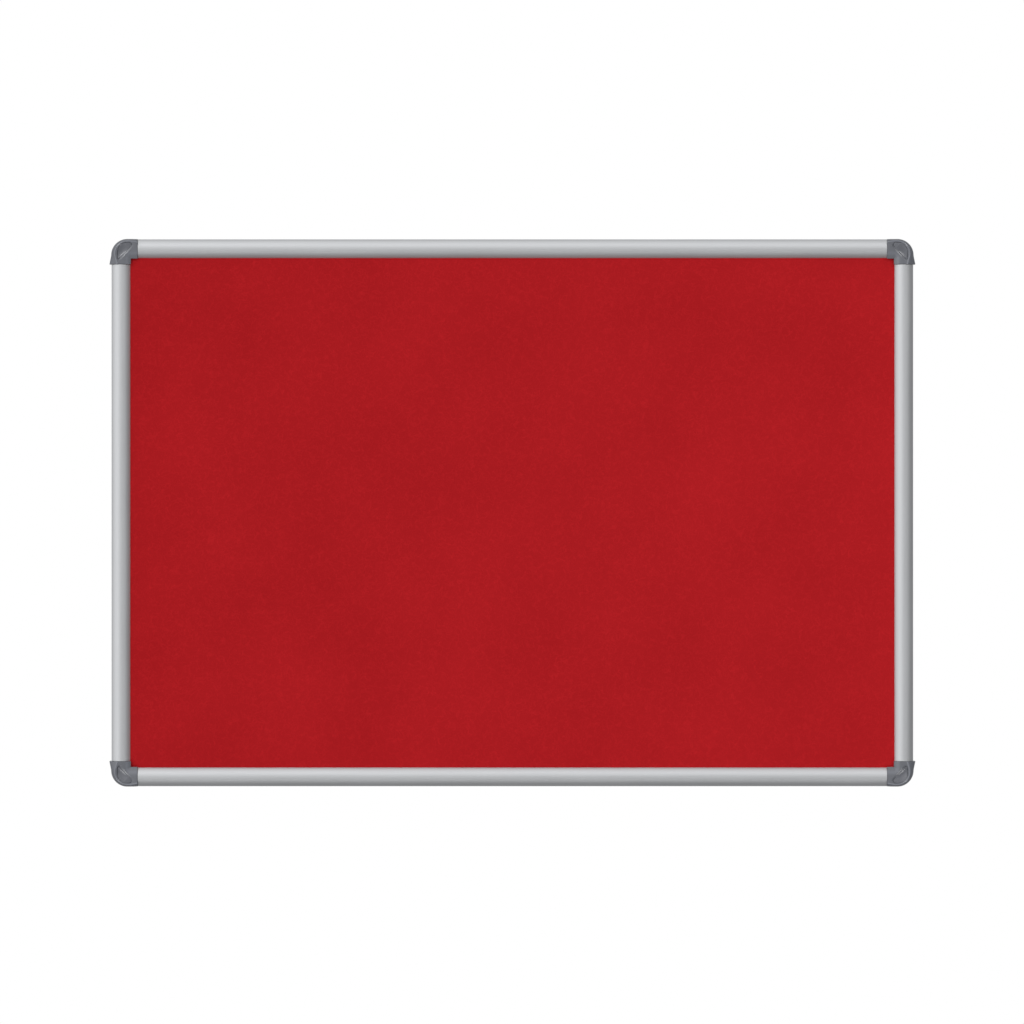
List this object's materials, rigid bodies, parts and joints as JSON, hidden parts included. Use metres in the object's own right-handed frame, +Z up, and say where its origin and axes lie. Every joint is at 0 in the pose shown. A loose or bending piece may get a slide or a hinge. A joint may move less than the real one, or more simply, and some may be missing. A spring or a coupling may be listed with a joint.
{
  "type": "pinboard",
  "caption": "Wall pinboard: a felt-faced softboard panel in rounded aluminium rails joined by plastic corner pieces, with a lift-off cover over each fixing screw bore.",
  "frame": {"origin": "middle of the wall plane that the backs of the four corner pieces rest on", "axes": "+X to the right as seen from the front, +Z up, +Y into the wall, so the felt faces -Y"},
  "size_m": [0.9492, 0.0189, 0.645],
  "materials": {
    "rail_aluminium": "satin anodised, drawn lengthwise",
    "corner_plastic": "moulded grey plastic, fine satin texture",
    "cover_plastic": "moulded grey plastic, slightly smoother than the corner piece",
    "screw_steel": "bright zinc plate",
    "red_felt": "pressed red felt",
    "softboard": "pressed wood fibre",
    "hardboard": "brown hardboard, smooth side out"
  },
  "bodies": {
    "board": {"rail_top": "rail_aluminium", "rail_bottom": "rail_aluminium", "rail_left": "rail_aluminium", "rail_right": "rail_aluminium", "corner_cap_top_left": "corner_plastic", "corner_cap_top_right": "corner_plastic", "corner_cap_bottom_left": "corner_plastic", "corner_cap_bottom_right": "corner_plastic", "rail_screw_top_left_across": "screw_steel", "rail_screw_top_left_down": "screw_steel", "rail_screw_top_right_across": "screw_steel", "rail_screw_top_right_down": "screw_steel", "rail_screw_bottom_left_across": "screw_steel", "rail_screw_bottom_left_down": "screw_steel", "rail_screw_bottom_right_across": "screw_steel", "rail_screw_bottom_right_down": "screw_steel", "felt_sheet": "red_felt", "softboard_core": "softboard", "backing_board": "hardboard"},
    "cover_top_left": {"screw_cover_top_left": "cover_plastic"},
    "cover_top_right": {"screw_cover_top_right": "cover_plastic"},
    "cover_bottom_left": {"screw_cover_bottom_left": "cover_plastic"},
    "cover_bottom_right": {"screw_cover_bottom_right": "cover_plastic"}
  },
  "joints": [
    {"name": "cover_top_left_pull", "type": "slide", "parent": "board", "child": "cover_top_left", "axis": [0, -1, 0], "range_m": [0, 0.015]},
    {"name": "cover_top_right_pull", "type": "slide", "parent": "board", "child": "cover_top_right", "axis": [0, -1, 0], "range_m": [0, 0.015]},
    {"name": "cover_bottom_left_pull", "type": "slide", "parent": "board", "child": "cover_bottom_left", "axis": [0, -1, 0], "range_m": [0, 0.015]},
    {"name": "cover_bottom_right_pull", "type": "slide", "parent": "board", "child": "cover_bottom_right", "axis": [0, -1, 0], "range_m": [0, 0.015]}
  ]
}
